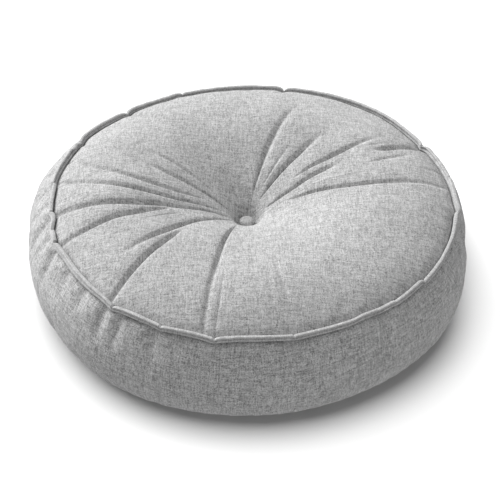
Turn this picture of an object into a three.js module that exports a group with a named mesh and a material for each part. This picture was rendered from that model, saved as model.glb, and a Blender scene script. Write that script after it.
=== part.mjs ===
// A round floor cushion, filled and lying on its flat underside: a crowned top drawn
// down by a button, creases that run from the button towards the seam, a side that
// bulges and draws in again, and an upright sewn edging round the top seam.
// Millimetres, +Z up. The origin is the middle of the underside and -Y is the front.

import * as THREE from "three";

// How finely the cushion is faceted
const STATIONS = 120; // directions round the cushion
const LOWER_SIDE_ROWS = 6;
const UPPER_SIDE_ROWS = 5;
const BUTTON_FACETS = 24;

// The side: a rounded lower half and an upper half that draws in to the seam
const BASE_RADIUS = 242; // flat part that lies on the floor
const BULGE_HEIGHT = 70; // height of the widest line
const LOWER_ROUNDNESS = 2.27; // 2 is an ellipse, more is fuller
const DRAW_IN = 1.7; // how late the upper half draws in

// The seam, the widest line and the edging by direction, because the filling is uneven.
// The angle is in degrees from +X, counterclockwise seen from above, and the edging's
// lean is in degrees outwards from upright.
const RIM = [
  { angle: 0, seamRadius: 264, seamHeight: 132, sideRadius: 285, edgingHeight: 8.6, edgingLean: 12 },
  { angle: 30, seamRadius: 260, seamHeight: 130, sideRadius: 303, edgingHeight: 8.2, edgingLean: 9 },
  { angle: 60, seamRadius: 261, seamHeight: 128, sideRadius: 302, edgingHeight: 7.4, edgingLean: 5 },
  { angle: 90, seamRadius: 259, seamHeight: 127, sideRadius: 302, edgingHeight: 7.2, edgingLean: 4 },
  { angle: 120, seamRadius: 258, seamHeight: 127, sideRadius: 302, edgingHeight: 7.4, edgingLean: 5 },
  { angle: 150, seamRadius: 257, seamHeight: 128, sideRadius: 309, edgingHeight: 8, edgingLean: 9 },
  { angle: 180, seamRadius: 253, seamHeight: 131, sideRadius: 290, edgingHeight: 8.6, edgingLean: 12 },
  { angle: 210, seamRadius: 261, seamHeight: 133, sideRadius: 291, edgingHeight: 9, edgingLean: 9 },
  { angle: 240, seamRadius: 272, seamHeight: 131, sideRadius: 300, edgingHeight: 9, edgingLean: 5 },
  { angle: 270, seamRadius: 274, seamHeight: 130, sideRadius: 298, edgingHeight: 9, edgingLean: 3 },
  { angle: 300, seamRadius: 272, seamHeight: 130, sideRadius: 293, edgingHeight: 9, edgingLean: 4 },
  { angle: 330, seamRadius: 269, seamHeight: 132, sideRadius: 293, edgingHeight: 9, edgingLean: 9 },
];

// The top: its height over the seam, by share of the way from the button to the seam
const CROWN = [
  { share: 0, height: -36 },
  { share: 0.05, height: -36 },
  { share: 0.08, height: -24 },
  { share: 0.14, height: -13 },
  { share: 0.2, height: -4 },
  { share: 0.3, height: 8 },
  { share: 0.45, height: 20 },
  { share: 0.6, height: 26 },
  { share: 0.72, height: 26.5 },
  { share: 0.85, height: 20 },
  { share: 0.95, height: 9 },
  { share: 1, height: 0 },
];
const CROWN_SHARES = [
  0.975, 0.94, 0.9, 0.85, 0.78, 0.7, 0.62, 0.54, 0.46, 0.38, 0.31, 0.25, 0.19, 0.14, 0.1,
  0.075, 0.05,
];

// The main creases of the top. Each runs between two shares of the way to the seam,
// through three angles, and has a depth and a half width.
const CREASES = [
  { from: 0.15, to: 0.85, inner: 9, middle: 2, outer: 2, depth: 4, halfWidth: 8 },
  { from: 0.12, to: 0.5, inner: 25, middle: 25, outer: 25, depth: 5, halfWidth: 8 },
  { from: 0.2, to: 0.85, inner: 37, middle: 33, outer: 33, depth: 5, halfWidth: 7 },
  { from: 0.7, to: 0.97, inner: 24, middle: 24, outer: 23, depth: 4, halfWidth: 7 },
  { from: 0.1, to: 0.75, inner: 59, middle: 54, outer: 48, depth: 6, halfWidth: 8 },
  { from: 0.08, to: 0.85, inner: 77, middle: 75, outer: 72, depth: 5, halfWidth: 7 },
  { from: 0.15, to: 0.65, inner: 146, middle: 148, outer: 150, depth: 3, halfWidth: 8 },
  { from: 0.1, to: 0.6, inner: 152, middle: 158, outer: 160, depth: 5, halfWidth: 8 },
  { from: 0.25, to: 0.97, inner: 174, middle: 171, outer: 164, depth: 5, halfWidth: 9 },
  { from: 0.15, to: 0.97, inner: 186, middle: 183, outer: 174, depth: 6, halfWidth: 9 },
  { from: 0.1, to: 0.97, inner: 201, middle: 196, outer: 191, depth: 8, halfWidth: 10 },
  { from: 0.3, to: 0.97, inner: 203, middle: 204, outer: 205, depth: 5, halfWidth: 7 },
  { from: 0.08, to: 0.8, inner: 215, middle: 222, outer: 222, depth: 7, halfWidth: 9 },
  { from: 0.4, to: 0.97, inner: 226, middle: 230, outer: 232, depth: 6, halfWidth: 8 },
  { from: 0.09, to: 0.9, inner: 246, middle: 257, outer: 258, depth: 6, halfWidth: 8 },
];
const CREASE_FADE = 0.3; // share of a crease's run over which it sinks in or runs out

// Dents in the side where the seam gathers it, by angle, depth, half width and reach
const GATHERS = [
  { angle: 192, depth: 4, halfWidth: 14, reach: 0.9 },
  { angle: 203, depth: 4, halfWidth: 13, reach: 0.8 },
  { angle: 232, depth: 4, halfWidth: 12, reach: 0.7 },
  { angle: 248, depth: 4, halfWidth: 12, reach: 0.8 },
  { angle: 262, depth: 2, halfWidth: 14, reach: 0.5 },
  { angle: 352, depth: 3, halfWidth: 14, reach: 0.7 },
];

// The edging: two layers of the cover turned out along the seam and stitched through
const EDGING_THICKNESS = 3;
const EDGING_WAIST = 2.2; // thickness where the stitching draws the layers together
const EDGING_WAIST_HEIGHT = 3.5;
const EDGING_CLEARANCE = 1;
// Where the edging is bunched, its upper edge jumps outwards or inwards.
const KINKS = [
  { angle: 0, jump: 3 },
  { angle: 24, jump: -6 },
  { angle: 78, jump: 5 },
  { angle: 111, jump: -3 },
  { angle: 132, jump: 3 },
  { angle: 153, jump: -5 },
  { angle: 174, jump: 3 },
  { angle: 189, jump: -3 },
  { angle: 201, jump: 5 },
  { angle: 234, jump: -5 },
  { angle: 249, jump: 3 },
  { angle: 261, jump: 4 },
  { angle: 282, jump: -3 },
  { angle: 300, jump: 3 },
  { angle: 321, jump: -5 },
  { angle: 351, jump: 3 },
];

// The covered button, at the bottom of the tuft a little off the middle
const BUTTON_PLACE = new THREE.Vector2(-3, -4);
const BUTTON_RADIUS = 9.6;
const BUTTON_RIM_HEIGHT = 3.5;
const BUTTON_THICKNESS = 6.5;
const BUTTON_UNDER_CHAMFER = 1.5;
const BUTTON_SHOULDER = { radiusShare: 0.86, drop: 1.7 }; // drop is from the dome's top
const BUTTON_CROWN = { radiusShare: 0.5, drop: 0.4 };
const BUTTON_GAP = 0.5;
const BUTTON_SEAM_HEIGHT = 130; // height that the crown's table is counted from there

const SEAM_MATERIAL = { color: "#b4b4b4", roughness: 0.95, metalness: 0 };
const COVER_MATERIAL = { color: "#bcbcbc", roughness: 0.95, metalness: 0 };
const BUTTON_MATERIAL = { color: "#c4c4c4", roughness: 0.9, metalness: 0 };

const { degToRad, lerp, clamp, euclideanModulo, smoothstep } = THREE.MathUtils;

// A smooth cubic through four even steps, at the share t between the middle two.
function cubic(before, left, right, after, t) {
  const slopeLeft = (right - before) / 2;
  const slopeRight = (after - left) / 2;
  const a = 2 * left - 2 * right + slopeLeft + slopeRight;
  const b = 3 * (right - left) - 2 * slopeLeft - slopeRight;
  return ((a * t + b) * t + slopeLeft) * t + left;
}

// A column of the rim's table at any angle in degrees.
function rimAt(column, angle) {
  const steps = (euclideanModulo(angle, 360) / 360) * RIM.length;
  const row = Math.floor(steps);
  const value = (offset) => RIM[euclideanModulo(row + offset, RIM.length)][column];
  return cubic(value(-1), value(0), value(1), value(2), steps - row);
}

// Height of the smooth top over the seam at a share of the way to the seam.
function crownHeight(share) {
  const last = CROWN.length - 1;
  const row = clamp(CROWN.findIndex((entry) => entry.share > share) - 1, 0, last - 1);
  const left = CROWN[row];
  const right = CROWN[row + 1];
  const slopeAt = (index) => {
    if (index === 0 || index === last) return 0;
    const low = CROWN[index - 1];
    const high = CROWN[index + 1];
    return (high.height - low.height) / (high.share - low.share);
  };
  const run = right.share - left.share;
  const t = clamp((share - left.share) / run, 0, 1);
  const before = right.height - 2 * run * slopeAt(row);
  const after = left.height + 2 * run * slopeAt(row + 1);
  return share >= 1 ? CROWN[last].height : cubic(before, left.height, right.height, after, t);
}

// Shortest way round from one angle to another, in degrees.
function turn(from, to) {
  return euclideanModulo(to - from + 180, 360) - 180;
}

// A soft dent across a crease or gather, 1 on its line and 0 far from it.
function dent(distance, halfWidth) {
  return Math.exp(-((distance / halfWidth) ** 2));
}

// How far the creases sink the top at a share and an angle.
function creaseDepth(share, angle, radius) {
  let depth = 0;
  for (const crease of CREASES) {
    const t = (share - crease.from) / (crease.to - crease.from);
    if (t <= 0 || t >= 1) continue;
    const half = t < 0.5 ? 2 * t : 2 * t - 1;
    const line =
      t < 0.5 ? lerp(crease.inner, crease.middle, half) : lerp(crease.middle, crease.outer, half);
    const across = degToRad(turn(line, angle)) * radius;
    const fade = smoothstep(t, 0, CREASE_FADE) * smoothstep(1 - t, 0, CREASE_FADE);
    depth = Math.max(depth, crease.depth * fade * dent(across, crease.halfWidth));
  }
  return depth;
}

// A point at an angle in degrees, a radius and a height.
function polar(angle, radius, height) {
  const turned = degToRad(angle);
  return new THREE.Vector3(radius * Math.cos(turned), radius * Math.sin(turned), height);
}

function lowerSidePoint(row, angle) {
  const swing = (row / LOWER_SIDE_ROWS) * (Math.PI / 2);
  const power = 2 / LOWER_ROUNDNESS;
  const out = Math.sin(swing) ** power;
  const up = 1 - Math.cos(swing) ** power;
  const radius = lerp(BASE_RADIUS, rimAt("sideRadius", angle), out);
  return polar(angle, radius, BULGE_HEIGHT * up);
}

function upperSidePoint(row, angle) {
  const t = row / UPPER_SIDE_ROWS;
  const side = rimAt("sideRadius", angle);
  const seam = rimAt("seamRadius", angle);
  let radius = side - (side - seam) * t ** DRAW_IN;
  for (const gather of GATHERS) {
    const across = degToRad(turn(gather.angle, angle)) * radius;
    const along = smoothstep(t, 1 - gather.reach, 1) * smoothstep(1 - t, 0, 1 / UPPER_SIDE_ROWS);
    radius -= gather.depth * along * dent(across, gather.halfWidth);
  }
  return polar(angle, radius, lerp(BULGE_HEIGHT, rimAt("seamHeight", angle), t));
}

function crownPoint(share, angle) {
  const radius = share * rimAt("seamRadius", angle);
  const seamHeight = lerp(BUTTON_SEAM_HEIGHT, rimAt("seamHeight", angle), share);
  const height = seamHeight + crownHeight(share) - creaseDepth(share, angle, radius);
  const point = polar(angle, radius, height);
  point.x += BUTTON_PLACE.x * (1 - share);
  point.y += BUTTON_PLACE.y * (1 - share);
  return point;
}

const ANGLES = Array.from({ length: STATIONS }, (_, station) => (360 * station) / STATIONS);
const ringOf = (pointAt) => ANGLES.map(pointAt);

// A geometry from its points and triangles.
function meshGeometry(points, triangles) {
  const geometry = new THREE.BufferGeometry().setFromPoints(points);
  geometry.setIndex(triangles);
  geometry.computeVertexNormals();
  return geometry;
}

// The two triangles between neighbouring stations of two rings.
function quad(lower, upper, station) {
  const next = (station + 1) % STATIONS;
  return [
    [lower + station, lower + next, upper + next],
    [lower + station, upper + next, upper + station],
  ].flat();
}

// Rings from the floor to the button, closed by a point at the bottom and at the top.
function closedStack(rings, bottom, top) {
  const points = [bottom, ...rings.flat(), top];
  const firstOf = (ring) => 1 + ring * STATIONS;
  const lastRing = firstOf(rings.length - 1);
  const triangles = [];
  for (let station = 0; station < STATIONS; station++) {
    const next = (station + 1) % STATIONS;
    triangles.push(0, 1 + next, 1 + station);
    for (let ring = 0; ring < rings.length - 1; ring++)
      triangles.push(...quad(firstOf(ring), firstOf(ring + 1), station));
    triangles.push(points.length - 1, lastRing + station, lastRing + next);
  }
  return meshGeometry(points, triangles);
}

// Rings that close on themselves, as round a hoop.
function closedHoop(rings) {
  const triangles = [];
  for (let station = 0; station < STATIONS; station++)
    for (let ring = 0; ring < rings.length; ring++)
      triangles.push(...quad(ring * STATIONS, ((ring + 1) % rings.length) * STATIONS, station));
  return meshGeometry(rings.flat(), triangles);
}

const seamRing = ringOf((angle) => upperSidePoint(UPPER_SIDE_ROWS, angle));

function cushionBody() {
  const rings = [];
  for (let row = 0; row <= LOWER_SIDE_ROWS; row++)
    rings.push(ringOf((angle) => lowerSidePoint(row, angle)));
  for (let row = 1; row < UPPER_SIDE_ROWS; row++)
    rings.push(ringOf((angle) => upperSidePoint(row, angle)));
  rings.push(seamRing);
  for (const share of CROWN_SHARES) rings.push(ringOf((angle) => crownPoint(share, angle)));
  const bottom = new THREE.Vector3(0, 0, 0);
  return closedStack(rings, bottom, crownPoint(0, 0));
}

// How far the edging's upper edge stands out of line at an angle, in millimetres: it
// drifts back between two kinks, so that each kink is a jump.
function edgingDrift(angle) {
  const next = KINKS.findIndex((kink) => kink.angle > angle);
  const after = KINKS[next < 0 ? 0 : next];
  const before = KINKS.at(next < 0 ? -1 : next - 1);
  const run = euclideanModulo(after.angle - before.angle, 360);
  const t = euclideanModulo(angle - before.angle, 360) / run;
  return lerp(before.jump / 2, -after.jump / 2, t);
}

// The edging's outline at one station, from its foot over its outer face to its inner one.
// The foot sits astride the seam, on the facets of the body beside it.
function edgingOutline(station) {
  const angle = ANGLES[station];
  const seam = seamRing[station];
  const outwards = polar(angle, 1, 0);
  const tall = rimAt("edgingHeight", angle);
  const lean = degToRad(rimAt("edgingLean", angle)) + Math.atan(edgingDrift(angle) / tall);
  const up = outwards.clone().multiplyScalar(Math.sin(lean));
  up.z = Math.cos(lean);
  const across = outwards.clone().multiplyScalar(Math.cos(lean));
  across.z = -Math.sin(lean);
  const half = EDGING_THICKNESS / 2;
  const beside = (neighbour) =>
    seam.clone().add(neighbour.clone().sub(seam).setLength(half)).addScaledVector(up, EDGING_CLEARANCE);
  const at = (height, thickness) =>
    seam.clone().addScaledVector(up, height).addScaledVector(across, thickness / 2);
  return [
    beside(crownPoint(CROWN_SHARES[0], angle)),
    seam.clone().addScaledVector(up, EDGING_CLEARANCE),
    beside(upperSidePoint(UPPER_SIDE_ROWS - 1, angle)),
    at(EDGING_WAIST_HEIGHT, EDGING_WAIST),
    at(tall - half, EDGING_THICKNESS),
    at(tall, 0),
    at(tall - half, -EDGING_THICKNESS),
    at(EDGING_WAIST_HEIGHT, -EDGING_WAIST),
  ];
}

function seamEdging() {
  const outlines = ANGLES.map((_, station) => edgingOutline(station));
  const rings = outlines[0].map((_, corner) => outlines.map((outline) => outline[corner]));
  return closedHoop(rings);
}

function tuftButton() {
  const outline = [
    [0, 0],
    [BUTTON_RADIUS - BUTTON_UNDER_CHAMFER, 0],
    [BUTTON_RADIUS, BUTTON_UNDER_CHAMFER],
    [BUTTON_RADIUS, BUTTON_RIM_HEIGHT],
    [BUTTON_RADIUS * BUTTON_SHOULDER.radiusShare, BUTTON_THICKNESS - BUTTON_SHOULDER.drop],
    [BUTTON_RADIUS * BUTTON_CROWN.radiusShare, BUTTON_THICKNESS - BUTTON_CROWN.drop],
    [0, BUTTON_THICKNESS],
  ];
  const points = outline.map(([radius, height]) => new THREE.Vector2(radius, height));
  return new THREE.LatheGeometry(points, BUTTON_FACETS);
}

function named(name, geometry, finish) {
  const mesh = new THREE.Mesh(geometry, new THREE.MeshStandardMaterial(finish));
  mesh.name = name;
  return mesh;
}

const cushion = new THREE.Group();
cushion.add(named("cushion_body", cushionBody(), COVER_MATERIAL));
cushion.add(named("seam_edging", seamEdging(), SEAM_MATERIAL));

const button = named("tuft_button", tuftButton(), BUTTON_MATERIAL);
button.rotation.x = Math.PI / 2;
const tuftFloor = BUTTON_SEAM_HEIGHT + CROWN[0].height;
button.position.set(BUTTON_PLACE.x, BUTTON_PLACE.y, tuftFloor + BUTTON_GAP);
cushion.add(button);

export default cushion;
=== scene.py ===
"""Looks of a round tufted floor cushion in heathered grey linen-look cloth.

Metres, +Z up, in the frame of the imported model. The tables are in millimetres.
"""

import logging
import math
from dataclasses import dataclass
from enum import Enum
from functools import partial
from typing import Any, Sequence

import bmesh
import bpy
import numpy as np
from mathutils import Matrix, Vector

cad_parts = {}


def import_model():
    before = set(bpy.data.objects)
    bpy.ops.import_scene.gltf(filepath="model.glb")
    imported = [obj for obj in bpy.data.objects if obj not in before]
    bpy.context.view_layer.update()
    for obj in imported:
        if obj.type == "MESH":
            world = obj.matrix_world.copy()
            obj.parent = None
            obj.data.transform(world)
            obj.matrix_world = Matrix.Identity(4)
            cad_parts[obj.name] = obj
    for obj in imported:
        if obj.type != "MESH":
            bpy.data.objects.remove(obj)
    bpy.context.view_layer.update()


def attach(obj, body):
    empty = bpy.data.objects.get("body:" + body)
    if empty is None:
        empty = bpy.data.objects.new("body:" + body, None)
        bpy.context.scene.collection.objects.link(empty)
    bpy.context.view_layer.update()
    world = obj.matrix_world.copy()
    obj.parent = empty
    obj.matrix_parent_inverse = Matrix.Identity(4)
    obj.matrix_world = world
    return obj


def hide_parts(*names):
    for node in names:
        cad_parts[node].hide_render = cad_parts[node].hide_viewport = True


LOG = logging.getLogger("cushion")
MM = 0.001
Array = np.ndarray
THREADS = "threads"
"""Name of the UV map on which a piece's threads lie at their true size in metres."""
SIDE_PLACE = 2.0
"""Where the side's threads start on that map, well away from the top's, which lie round 0."""
EDGING_PLACE = 5.0
"""Where the edging's threads start on it."""
SEAM_LIFT = 0.5
"""How far the seam rises at the back, for each millimetre that it stands out of its ring."""


class Turn(Enum):
    """The steep side of a crease, as the way round seen from above."""

    COUNTERCLOCKWISE = 1
    CLOCKWISE = -1


@dataclass(frozen=True)
class RimRow:
    """The seam, the widest line and the edging in one direction, in degrees and millimetres.

    The groove fill says how much of the edging's stitched groove the folded cloth hides, from
    0 to 1. A value past 1 widens the stretch on which the groove is hidden.
    """

    angle: float
    seam_radius: float
    seam_height: float
    side_radius: float
    edging_height: float
    edging_lean: float
    groove_fill: float = 0.0


RIM = (
    RimRow(0, 263.5, 132, 284, 10, 10, 1),
    RimRow(30, 259, 130, 303, 10, 8),
    RimRow(60, 261, 128, 302, 10, 5),
    RimRow(90, 259, 127, 302, 10.1, 4),
    RimRow(120, 258, 127, 302, 10.1, 5),
    RimRow(150, 257.5, 128, 309, 10.9, 9),
    RimRow(180, 253, 131, 290, 9.4, 0),
    RimRow(210, 261, 133, 291, 10.9, -16, 1.3),
    RimRow(240, 272, 132, 300, 9, 4, 0.1),
    RimRow(270, 274, 131.3, 298, 9, 3),
    RimRow(300, 272, 131.3, 293, 9, 4),
    RimRow(330, 269, 133, 293, 9, 2, 0.3),
)


@dataclass(frozen=True)
class CrownRow:
    """Height of the smooth top over the seam, at a share of the way to the seam."""

    share: float
    height: float


CROWN = (
    CrownRow(0, -36),
    CrownRow(0.05, -36),
    CrownRow(0.08, -24),
    CrownRow(0.14, -13),
    CrownRow(0.2, -4),
    CrownRow(0.3, 8),
    CrownRow(0.45, 20),
    CrownRow(0.6, 26),
    CrownRow(0.72, 26.5),
    CrownRow(0.85, 20),
    CrownRow(0.95, 9),
    CrownRow(1, 0),
)


@dataclass(frozen=True)
class CreaseForm:
    """What all creases have in common. Reaches are shares of a crease's width.

    A crease is a wide soft dent with a narrow groove at its bottom. It deepens over the
    share rise of its length and fades over the share fall, and it is narrower near the
    button and at its start. Rounding and the held width are in millimetres.
    """

    rise: float = 0.28
    fall: float = 0.5
    full_width_share: float = 0.5
    least_width: float = 0.12
    taper: float = 0.8
    start_width: float = 0.6
    widening: float = 0.4
    steep_reach: float = 0.8
    gentle_reach: float = 1.3
    groove_reach: float = 0.42
    dent_depth: float = 0.22
    groove_depth: float = 0.44
    groove_power: float = 1.3
    rounding: float = 0.5
    held_depth: float = 6.0
    held_width: float = 3.5


FORM = CreaseForm()


@dataclass(frozen=True)
class Crease:
    """A crease of the top that runs from near the button towards the seam.

    Its bottom line bends through three angles: at its start, halfway and at its end. Widths
    and depths are in millimetres. The depth is nominal, and the bottom reaches about two
    thirds of it. A negative depth makes a soft ridge.
    """

    start: float
    end: float
    inner: float
    middle: float
    outer: float
    depth: float
    width: float
    outer_depth: float = 0.0
    steep: Turn = Turn.COUNTERCLOCKWISE

    def line(self, shares: Array) -> Array:
        """Angles of the bottom line at the given shares of the way to the seam.

        Args:
            shares: shares of the way from the button to the seam.

        Returns:
            Angles in degrees, counterclockwise from +X.
        """
        t = np.linspace(0, 1, 81)
        ends = np.array([self.start, (self.start + self.end) / 2, self.end])
        turns = np.radians([self.inner, self.middle, self.outer])
        stops = np.stack([ends * np.cos(turns), ends * np.sin(turns)])
        weights = np.stack([(1 - t) * (1 - 2 * t), 4 * t * (1 - t), t * (2 * t - 1)])
        x, y = stops @ weights
        angles = np.degrees(np.unwrap(np.arctan2(y, x)))
        angles += 360 * round((self.middle - angles[40]) / 360)
        return np.interp(shares, np.hypot(x, y), angles)

    def strength(self, shares: Array) -> Array:
        """Nominal depth of the crease along its bottom line.

        Args:
            shares: shares of the way to the seam.

        Returns:
            Depths in millimetres, 0 before its start and past its end.
        """
        t = (shares - self.start) / (self.end - self.start)
        risen = smooth_step(t / FORM.rise)
        fallen = smooth_step((1 - t) / FORM.fall)
        depth = risen * (self.outer_depth + (self.depth - self.outer_depth) * fallen)
        return np.where((t > 0) & (t < 1), depth, 0.0)

    def across(self, shares: Array, angles: Array, radii: Array) -> Array:
        """Distance of points from the bottom line, in millimetres, positive counterclockwise.

        Args:
            shares: shares of the way to the seam.
            angles: angles in degrees.
            radii: distances from the middle, in millimetres.

        Returns:
            The distance of each point, square to the line.
        """
        line = self.line(shares)
        slant = np.gradient(np.radians(line), axis=0) * radii
        slant = slant / np.minimum(np.gradient(radii, axis=0), -1e-6)
        apart = np.radians((angles - line + 180) % 360 - 180)
        return apart * radii / np.hypot(1, slant)

    def dent(self, shares: Array, across: Array) -> Array:
        """How far the crease sinks the top, in millimetres.

        Args:
            shares: shares of the way to the seam.
            across: distances from the bottom line, in millimetres.

        Returns:
            The dent at each point, 0 away from the crease.
        """
        along = (shares - self.start) / (self.end - self.start)
        opened = FORM.start_width + (1 - FORM.start_width) * smooth_step(along / FORM.widening)
        narrowed = np.clip(shares / FORM.full_width_share, FORM.least_width, 1) ** FORM.taper
        tight = narrowed * opened
        steep_side = across * self.steep.value > 0
        reach = self.width * tight * np.where(steep_side, FORM.steep_reach, FORM.gentle_reach)
        wide = np.clip(np.abs(across) / reach, 0, 1)
        rounded = np.hypot(across, FORM.rounding) - FORM.rounding
        narrow = np.clip(rounded / (FORM.groove_reach * self.width * tight), 0, 1)
        dented = FORM.dent_depth * (1 - wide) ** 2
        grooved = FORM.groove_depth * (1 - narrow) ** FORM.groove_power
        return self.strength(shares) * (dented + grooved)

    def hold(self, shares: Array, across: Array) -> Array:
        """How firmly the bottom line is held while the cover swells, from 0 to 1."""
        near = np.exp(-((across / FORM.held_width) ** 2))
        return np.clip(self.strength(shares) / FORM.held_depth, 0, 1) * near


CW = Turn.CLOCKWISE
CREASES = (
    # right and back
    Crease(0.14, 0.97, 12.5, 1.8, 2.7, 9.5, 12, 2, steep=CW),
    Crease(0.08, 0.56, 24.5, 22.8, 24.5, 13, 14, steep=CW),
    Crease(0.26, 0.82, 33, 32.4, 31, 10, 12, steep=CW),
    Crease(0.66, 0.84, 28.5, 27.4, 26.5, 2, 6, steep=CW),
    Crease(0.6, 0.93, 15, 17.6, 19, 3, 8, steep=CW),
    Crease(0.68, 1, 24, 24, 23.6, 9, 16, 7, steep=CW),
    Crease(0.1, 0.62, 56, 52.4, 48.6, 13, 15, steep=CW),
    Crease(0.16, 0.5, 64.5, 62, 60.5, 2.2, 9, steep=CW),
    Crease(0.07, 0.84, 75.5, 74, 68.5, 9, 16, steep=CW),
    # back and left
    Crease(0.16, 0.5, 136, 135, 135, 3, 9),
    Crease(0.14, 0.68, 153, 148.4, 150.5, 5, 9),
    Crease(0.07, 0.62, 166.5, 160, 160, 9, 12),
    Crease(0.18, 0.99, 172.5, 173, 162, 10, 12, 3),
    Crease(0.1, 1, 182.5, 183.6, 173, 13, 13, 5),
    Crease(0.07, 1, 199.5, 195.2, 189, 17, 14, 7),
    Crease(0.38, 1, 201.8, 202.4, 204.1, 12, 12, 6),
    Crease(0.34, 0.62, 208, 208.4, 208.6, 1.5, 6),
    Crease(0.06, 0.84, 212, 221.5, 222.8, 14, 13),
    Crease(0.42, 1, 226.4, 229.8, 231.6, 13, 12, 8),
    # front
    Crease(0.05, 1, 230, 255.8, 258.6, 10, 11, 3.5),
    Crease(0.66, 1, 261, 261.4, 261.5, 2.5, 4, 2),
    Crease(0.52, 0.97, 281.8, 281.8, 281.8, 1.6, 10),
    Crease(0.6, 0.95, 277.5, 277.5, 277.5, 1.2, 9),
    Crease(0.7, 0.99, 300, 300, 300, 1.5, 9, 0.8),
    # soft ridges and rim wrinkles on the right
    Crease(0.42, 0.84, 342, 342, 342, -1.5, 9),
    Crease(0.12, 0.5, 355, 340, 333, -1.2, 7),
    Crease(0.2, 0.72, 12, 11.6, 11.4, -1.0, 6),
    Crease(0.84, 1, 347, 347, 346, 1.2, 7, 1, steep=CW),
    Crease(0.86, 1, 10.6, 10.6, 10, 1.8, 6, 1, steep=CW),
)


@dataclass(frozen=True)
class Gather:
    """A fold of the side that hangs from a bunched place of the seam.

    It drifts by some degrees on its way down, its depth and width are in millimetres, and
    its reach is the share of the way down to the widest line.
    """

    angle: float
    drift: float
    depth: float
    width: float
    reach: float


GATHERS = (
    Gather(163, 0, 3, 8, 0.5),
    Gather(172, 1, 5, 9, 0.6),
    Gather(180, 1, 5, 9, 0.7),
    Gather(188, 1, 6, 10, 0.9),
    Gather(196, 1, 5, 9, 0.7),
    Gather(203, 1, 6, 10, 0.8),
    Gather(213, 0, 2.5, 9, 0.5),
    Gather(222, 0, 2.5, 8, 0.5),
    Gather(231, -1, 5, 9, 0.8),
    Gather(236.5, -1, 4.5, 8, 0.75),
    Gather(246, 0, 6, 11, 0.9),
    Gather(252.5, 0, 3, 8, 0.6),
    Gather(261.5, 0, 4, 10, 0.6),
    Gather(301, 0, 1.5, 10, 0.4),
    Gather(322, 0, 2.5, 9, 0.5),
    Gather(333, 0, 2, 9, 0.5),
    Gather(342, 1, 3.5, 8, 0.6),
    Gather(352, 1, 5, 10, 0.8),
    Gather(0, 1, 3, 9, 0.6),
    Gather(24, 0, 3, 9, 0.6),
    Gather(78, 0, 4, 10, 0.7),
    Gather(111, 0, 3, 9, 0.5),
    Gather(132, 0, 3, 9, 0.5),
    Gather(153, 0, 4, 9, 0.6),
)


@dataclass(frozen=True)
class SeamStop:
    """How far the seam stands outside its smooth ring, in millimetres.

    At a sharp stop the seam turns a corner, where it is gathered.
    """

    angle: float
    out: float
    sharp: bool = False


SEAM_LINE = (
    SeamStop(0, 2),
    SeamStop(22.5, 1),
    SeamStop(25.5, -3, True),
    SeamStop(28, 0),
    SeamStop(45, 2.6),
    SeamStop(60, 1.8),
    SeamStop(76, 0.4),
    SeamStop(79, -2.5, True),
    SeamStop(82, 0.5),
    SeamStop(108, 0),
    SeamStop(113.5, 1.6, True),
    SeamStop(118, 0.3),
    SeamStop(128, 1.2),
    SeamStop(131, -1.8, True),
    SeamStop(135, 1),
    SeamStop(148, 3),
    SeamStop(152, -0.5, True),
    SeamStop(154, 2, True),
    SeamStop(158, 1.2),
    SeamStop(172, 3),
    SeamStop(174, 3.2, True),
    SeamStop(180, 2),
    SeamStop(187, 1.6),
    SeamStop(190.5, -1.5),
    SeamStop(196, 2),
    SeamStop(202, 4.2, True),
    SeamStop(211, -0.5),
    SeamStop(228, -0.5),
    SeamStop(233.3, 2.6, True),
    SeamStop(240.5, -1.5),
    SeamStop(247.7, 1.2, True),
    SeamStop(254, 0),
    SeamStop(261.4, 3.8, True),
    SeamStop(270, -0.5),
    SeamStop(281, 1.6, True),
    SeamStop(291, 0.2),
    SeamStop(296, 0.5),
    SeamStop(300, -1.4, True),
    SeamStop(308.5, 0.8),
    SeamStop(310, 2),
    SeamStop(319.5, 0.7),
    SeamStop(321, 3.6, True),
    SeamStop(329, 2.6),
    SeamStop(338, 2),
    SeamStop(350, 1.6),
    SeamStop(353, 5, True),
)


@dataclass(frozen=True)
class Kink:
    """A gathered place of the edging, where one length of it ends in front of the next.

    Its height drops there by a share and rises again over a run, in millimetres, on the
    counterclockwise side, or on both sides. The jump is how far the upper edge steps.
    """

    angle: float
    drop: float
    run: float
    jump: float
    both: bool = False


KINKS = (
    Kink(0.5, 0.15, 4, 1, True),
    Kink(8, 0.15, 4, -1, True),
    Kink(25.5, 0.3, 5, -3, True),
    Kink(79, 0.55, 8, 0.5, True),
    Kink(111.3, 0.45, 5, -0.5, True),
    Kink(131.3, 0.4, 7, 0.5, True),
    Kink(152, 0.4, 5, -1),
    Kink(156, 0.2, 3, 6, True),
    Kink(174, 0.35, 5, -8),
    Kink(188, 0.4, 6, -1),
    Kink(196, 0.6, 18, 0.5, True),
    Kink(202, 0.7, 9, 1),
    Kink(233.3, 0.75, 7, 1),
    Kink(247.7, 0.55, 6, 1),
    Kink(261.4, 0.75, 7, 0.5),
    Kink(281, 0.3, 6, 0.5),
    Kink(300, 0.1, 5, 0.5, True),
    Kink(310, 0.2, 4, 0.5),
    Kink(321, 0.4, 5, 0.5),
    Kink(352.5, 0.5, 11, 3, True),
)


def smooth_step(t: Array) -> Array:
    """Smooth rise from 0 to 1 while t goes from 0 to 1."""
    t = np.clip(t, 0, 1)
    return t * t * (3 - 2 * t)


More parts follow.
